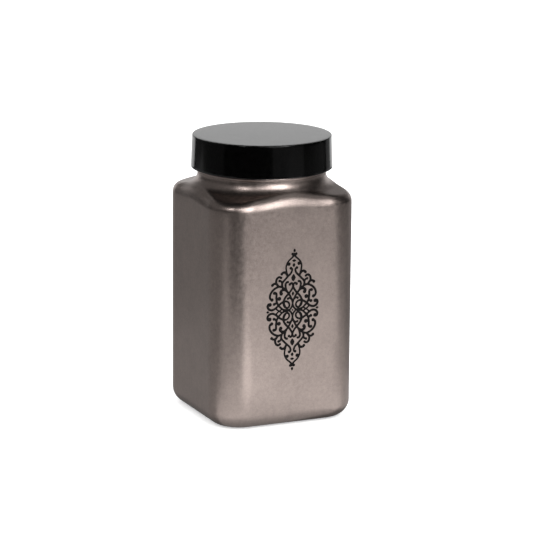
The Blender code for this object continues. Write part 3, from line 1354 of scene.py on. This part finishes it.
@dataclass
class SealingDisc:
    """The loose foam disc inside the lid, with the ring that the glass lip has pressed into it."""

    node: str = "lid_liner"
    sides: int = 240
    edge_round: float = 0.2 * MM
    edge_steps: int = 4
    face_steps: int = 48
    centre_radius: float = 1.0 * MM
    print_radius: float = 37.65 * MM
    print_half_width: float = 1.9 * MM
    print_flat_share: float = 0.6
    print_depth: float = 0.16 * MM
    uneven: float = 0.02 * MM
    uneven_size: float = 7.0 * MM

    def build(self, foam: LinerFoam) -> bpy.types.Object:
        """Make the disc in place of the frame's.

        Args:
            foam: The disc's finish.

        Returns:
            The disc.
        """
        low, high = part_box(self.node)
        radius = (high.x - low.x) / 2
        flat = radius - self.edge_round
        lower = Vector((flat, low.z + self.edge_round))
        upper = Vector((flat, high.z - self.edge_round))
        reach = flat - self.centre_radius
        rings = []
        for step in range(self.face_steps):
            distance = self.centre_radius + reach * step / self.face_steps
            away = abs(distance - self.print_radius)
            pressed = self.print_depth * smooth_step(away, self.print_half_width,
                                                     self.print_half_width * self.print_flat_share)
            ring = turned_ring(distance, low.z + pressed, self.sides)
            for point in ring:
                point.z += self.uneven * (1 + noise.noise(point / self.uneven_size))
            rings.append(ring)
        edge = arc(lower, self.edge_round, -QUARTER_TURN, 0, self.edge_steps)
        edge += arc(upper, self.edge_round, 0, QUARTER_TURN, self.edge_steps)
        rings += [turned_ring(distance, height, self.sides) for distance, height in edge]
        for step in range(self.edge_steps):
            distance = flat + (self.centre_radius - flat) * (step + 1) / self.edge_steps
            rings.append(turned_ring(distance, high.z, self.sides))
        disc_piece = settle(skin("sealing_disc", rings), foam.material(), Body.LINER)
        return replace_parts(disc_piece, self.node)


@dataclass(frozen=True)
class Panel:
    """An evenly bright rectangular light that the camera itself doesn't see.

    Azimuth 0 is in front of the printed face, on -Y, and grows towards +X, in degrees. A brightness of 1 is
    that of a white sheet lit to just white.
    """

    name: str
    azimuth: float
    distance: float
    width: float
    height: float
    brightness: float

    def hang(self, place: Vector, back: Vector) -> bpy.types.Object:
        """Hang the panel.

        Args:
            place: The middle of the panel.
            back: The way its back faces.

        Returns:
            The lamp.
        """
        light = bpy.data.lights.new(self.name, "AREA")
        light.shape = "RECTANGLE"
        light.size = self.width
        light.size_y = self.height
        light.energy = self.brightness * math.pi * self.width * self.height
        turn = math.radians(self.azimuth)
        across = Vector((math.cos(turn), math.sin(turn), 0))
        lamp = put(self.name, light)
        lamp.matrix_world = Matrix((across, back.cross(across), back)).transposed().to_4x4()
        lamp.location = place
        lamp.visible_camera = False
        return lamp


@dataclass(frozen=True)
class SoftBox(Panel):
    """A soft box that hangs at an elevation and faces the jar."""

    elevation: float = 0.0
    aim_height: float = 90.0 * MM

    def build(self) -> bpy.types.Object:
        """Hang the box.

        Returns:
            The lamp.
        """
        turn, rise = math.radians(self.azimuth), math.radians(self.elevation)
        level = math.cos(rise)
        back = Vector((math.sin(turn) * level, -math.cos(turn) * level, math.sin(rise)))
        return self.hang(Vector((0, 0, self.aim_height)) + back * self.distance, back)


@dataclass(frozen=True)
class BounceSheet(Panel):
    """A part of the floor that throws light back up, as wide across and as deep away from the jar as it says.

    Sheets that overlap add up, and each lies at a level of its own.
    """

    layer: int = 1
    layer_step: float = 0.04 * MM
    foot_half_side: float = CAD_BOX[1][0]
    foot_corner: float = GlassJar.corner_radius
    shade_inside: float = 14.0 * MM
    shade_outside: float = 11.0 * MM

    def build(self) -> bpy.types.Object:
        """Lay the sheet.

        Returns:
            The lamp.
        """
        turn = math.radians(self.azimuth)
        place = Vector((math.sin(turn), -math.cos(turn), 0)) * self.distance
        sheet = self.hang(place - Vector((0, 0, self.layer * self.layer_step)), Vector((0, 0, -1)))
        self.shade_foot(sheet.data)
        return sheet

    def shade_foot(self, light: bpy.types.Light) -> None:
        """Dim the sheet towards the jar's foot, where the jar keeps the light off the floor.

        Args:
            light: The sheet's lamp.
        """
        light.use_nodes = True
        nodes, links = light.node_tree.nodes, light.node_tree.links
        flat = self.foot_half_side - self.foot_corner
        place = nodes.new("ShaderNodeNewGeometry").outputs["Position"]
        for operation, other in (("ABSOLUTE", (0, 0, 0)), ("SUBTRACT", (flat, flat, 0)),
                                 ("MAXIMUM", (0, 0, 0)), ("MULTIPLY", (1, 1, 0))):
            step = nodes.new("ShaderNodeVectorMath")
            step.operation = operation
            step.inputs[1].default_value = other
            links.new(place, step.inputs[0])
            place = step.outputs["Vector"]
        away = nodes.new("ShaderNodeVectorMath")
        away.operation = "LENGTH"
        links.new(place, away.inputs[0])
        fade = nodes.new("ShaderNodeMapRange")
        fade.inputs["From Min"].default_value = self.foot_corner - self.shade_inside
        fade.inputs["From Max"].default_value = self.foot_corner + self.shade_outside
        links.new(away.outputs["Value"], fade.inputs["Value"])
        links.new(fade.outputs["Result"], nodes["Emission"].inputs["Strength"])


@dataclass
class Studio:
    """Camera, floor and soft light of the photograph. The camera's angles are in degrees."""

    camera_turn: float = -24.28
    camera_rise: float = 13.385
    camera_roll: float = 0.403
    camera_distance: float = 1620.7 * MM
    aim_height: float = 85.0 * MM
    focal_pixels: float = 2631.34
    sensor: float = 36.0
    shift_right_pixels: float = -5.50
    shift_down_pixels: float = 6.97
    floor_radius: float = 6.0
    floor_sides: int = 96
    floor_gap: float = 0.4 * MM
    world_strength: float = 1.1
    lights: tuple[SoftBox | BounceSheet, ...] = (
        SoftBox("key_box", 3.5, 1.5, 0.93, 1.08, 3.45, elevation=25.0),
        SoftBox("key_core", 13.0, 1.5, 0.40, 0.70, 3.20, elevation=25.5),
        SoftBox("edge_box", 30.0, 1.5, 0.30, 0.25, 2.40, elevation=38.0),
        SoftBox("corner_box", -25.0, 1.5, 0.22, 0.30, 3.60, elevation=34.0),
        SoftBox("side_strip", -57.0, 1.5, 0.28, 0.40, 6.60, elevation=34.0),
        SoftBox("upper_right_box", 60.0, 1.2, 0.50, 0.45, 0.39, elevation=62.0),
        SoftBox("back_board", 158.0, 1.2, 1.85, 0.55, 0.93, elevation=4.0),
        SoftBox("back_high_board", 155.0, 1.3, 1.70, 0.60, 0.19, elevation=34.0),
        SoftBox("left_low_wall", -124.0, 1.3, 1.95, 0.46, 0.055, elevation=-1.0),
        SoftBox("left_wall", -124.0, 1.3, 1.95, 1.00, 0.145, elevation=31.0),
        SoftBox("right_rear_wall", 112.0, 1.3, 0.40, 0.90, 0.20, elevation=8.0),
        SoftBox("front_right_board", 50.0, 1.5, 0.66, 0.55, 0.20, elevation=17.0),
        SoftBox("low_band", 20.0, 1.6, 1.60, 0.30, 0.11, elevation=-3.0),
        BounceSheet("floor_all_round", 180.0, 0.27, 1.60, 1.10, 0.24, layer=1),
        BounceSheet("floor_under", 0.0, 0.0, 0.44, 0.44, 0.09, layer=2),
        BounceSheet("floor_by_front", -10.0, 0.12, 0.24, 0.16, 0.47, layer=3),
        BounceSheet("floor_by_corner", -38.0, 0.15, 0.12, 0.16, 0.20, layer=4),
        BounceSheet("floor_by_right", 50.0, 0.14, 0.16, 0.16, 0.26, layer=5),
        BounceSheet("floor_slit", -6.0, 0.26, 0.075, 0.28, 1.18, layer=6),
        BounceSheet("floor_side_patch", -66.0, 0.38, 0.12, 0.38, 0.37, layer=7),
        BounceSheet("floor_gap", -36.0, 0.32, 0.18, 0.20, 0.075, layer=8),
        BounceSheet("floor_front", 4.0, 0.31, 0.11, 0.20, 0.27, layer=9),
        BounceSheet("floor_front_right", 30.0, 0.32, 0.22, 0.20, 0.92, layer=10),
        BounceSheet("floor_right", 64.0, 0.32, 0.18, 0.20, 0.23, layer=11),
        BounceSheet("floor_far_right", 30.0, 0.58, 0.30, 0.32, 0.56, layer=12),
        BounceSheet("floor_rim", 55.0, 1.05, 1.60, 0.60, 0.09, layer=13),
    )

    def place_camera(self) -> None:
        """Stand the camera where the photograph's stood."""
        turn = math.radians(self.camera_turn)
        rise = math.radians(self.camera_rise)
        roll = math.radians(self.camera_roll)
        back = Vector((math.sin(turn) * math.cos(rise), -math.cos(turn) * math.cos(rise), math.sin(rise)))
        right = Vector((math.cos(turn), math.sin(turn), 0))
        up = back.cross(right)
        level_right = right * math.cos(roll) + up * math.sin(roll)
        level_up = up * math.cos(roll) - right * math.sin(roll)
        data = bpy.data.cameras.new("camera")
        data.sensor_width = self.sensor
        data.lens = self.focal_pixels / PHOTO_PIXELS * self.sensor
        data.shift_x = -self.shift_right_pixels / PHOTO_PIXELS
        data.shift_y = self.shift_down_pixels / PHOTO_PIXELS
        camera = put("camera", data)
        camera.matrix_world = Matrix((level_right, level_up, back)).transposed().to_4x4()
        camera.location = Vector((0, 0, self.aim_height)) + back * self.camera_distance
        bpy.context.scene.camera = camera

    def lay_floor(self) -> None:
        """Lay the pale floor. The sheets on it stand for what the jar mirrors of it."""
        shape = bmesh.new()
        bmesh.ops.create_circle(shape, cap_ends=True, segments=self.floor_sides, radius=self.floor_radius)
        mesh = bpy.data.meshes.new("pale_floor")
        shape.to_mesh(mesh)
        shape.free()
        mesh.materials.append(PaleFloor().material())
        floor = put("pale_floor", mesh)
        floor.location.z = -self.floor_gap
        floor.visible_glossy = False

    def light(self) -> None:
        """Hang the lights and set the pale surroundings."""
        world = bpy.data.worlds.new("studio")
        world.use_nodes = True
        background = world.node_tree.nodes["Background"]
        background.inputs["Color"].default_value = (1.0, 1.0, 1.0, 1.0)
        background.inputs["Strength"].default_value = self.world_strength
        world.cycles_visibility.glossy = False
        bpy.context.scene.world = world
        for light in self.lights:
            light.build()

    def build(self) -> None:
        """Set up the whole studio."""
        bpy.context.scene.view_settings.view_transform = "Standard"
        self.place_camera()
        self.lay_floor()
        self.light()
        log.info("studio: camera, floor and %d soft lights", len(self.lights))


def main() -> None:
    """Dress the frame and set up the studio."""
    logging.basicConfig(level=logging.INFO, format="%(name)s: %(message)s")
    Studio().build()
    GlassJar().build(MetallicLacquer(), ClearGlass())
    PrintedLozenge().build(PrintInk())
    SealingDisc().build(LinerFoam())
    ScrewLid().build(GlossMoulding())


if __name__ == "__main__":
    main()
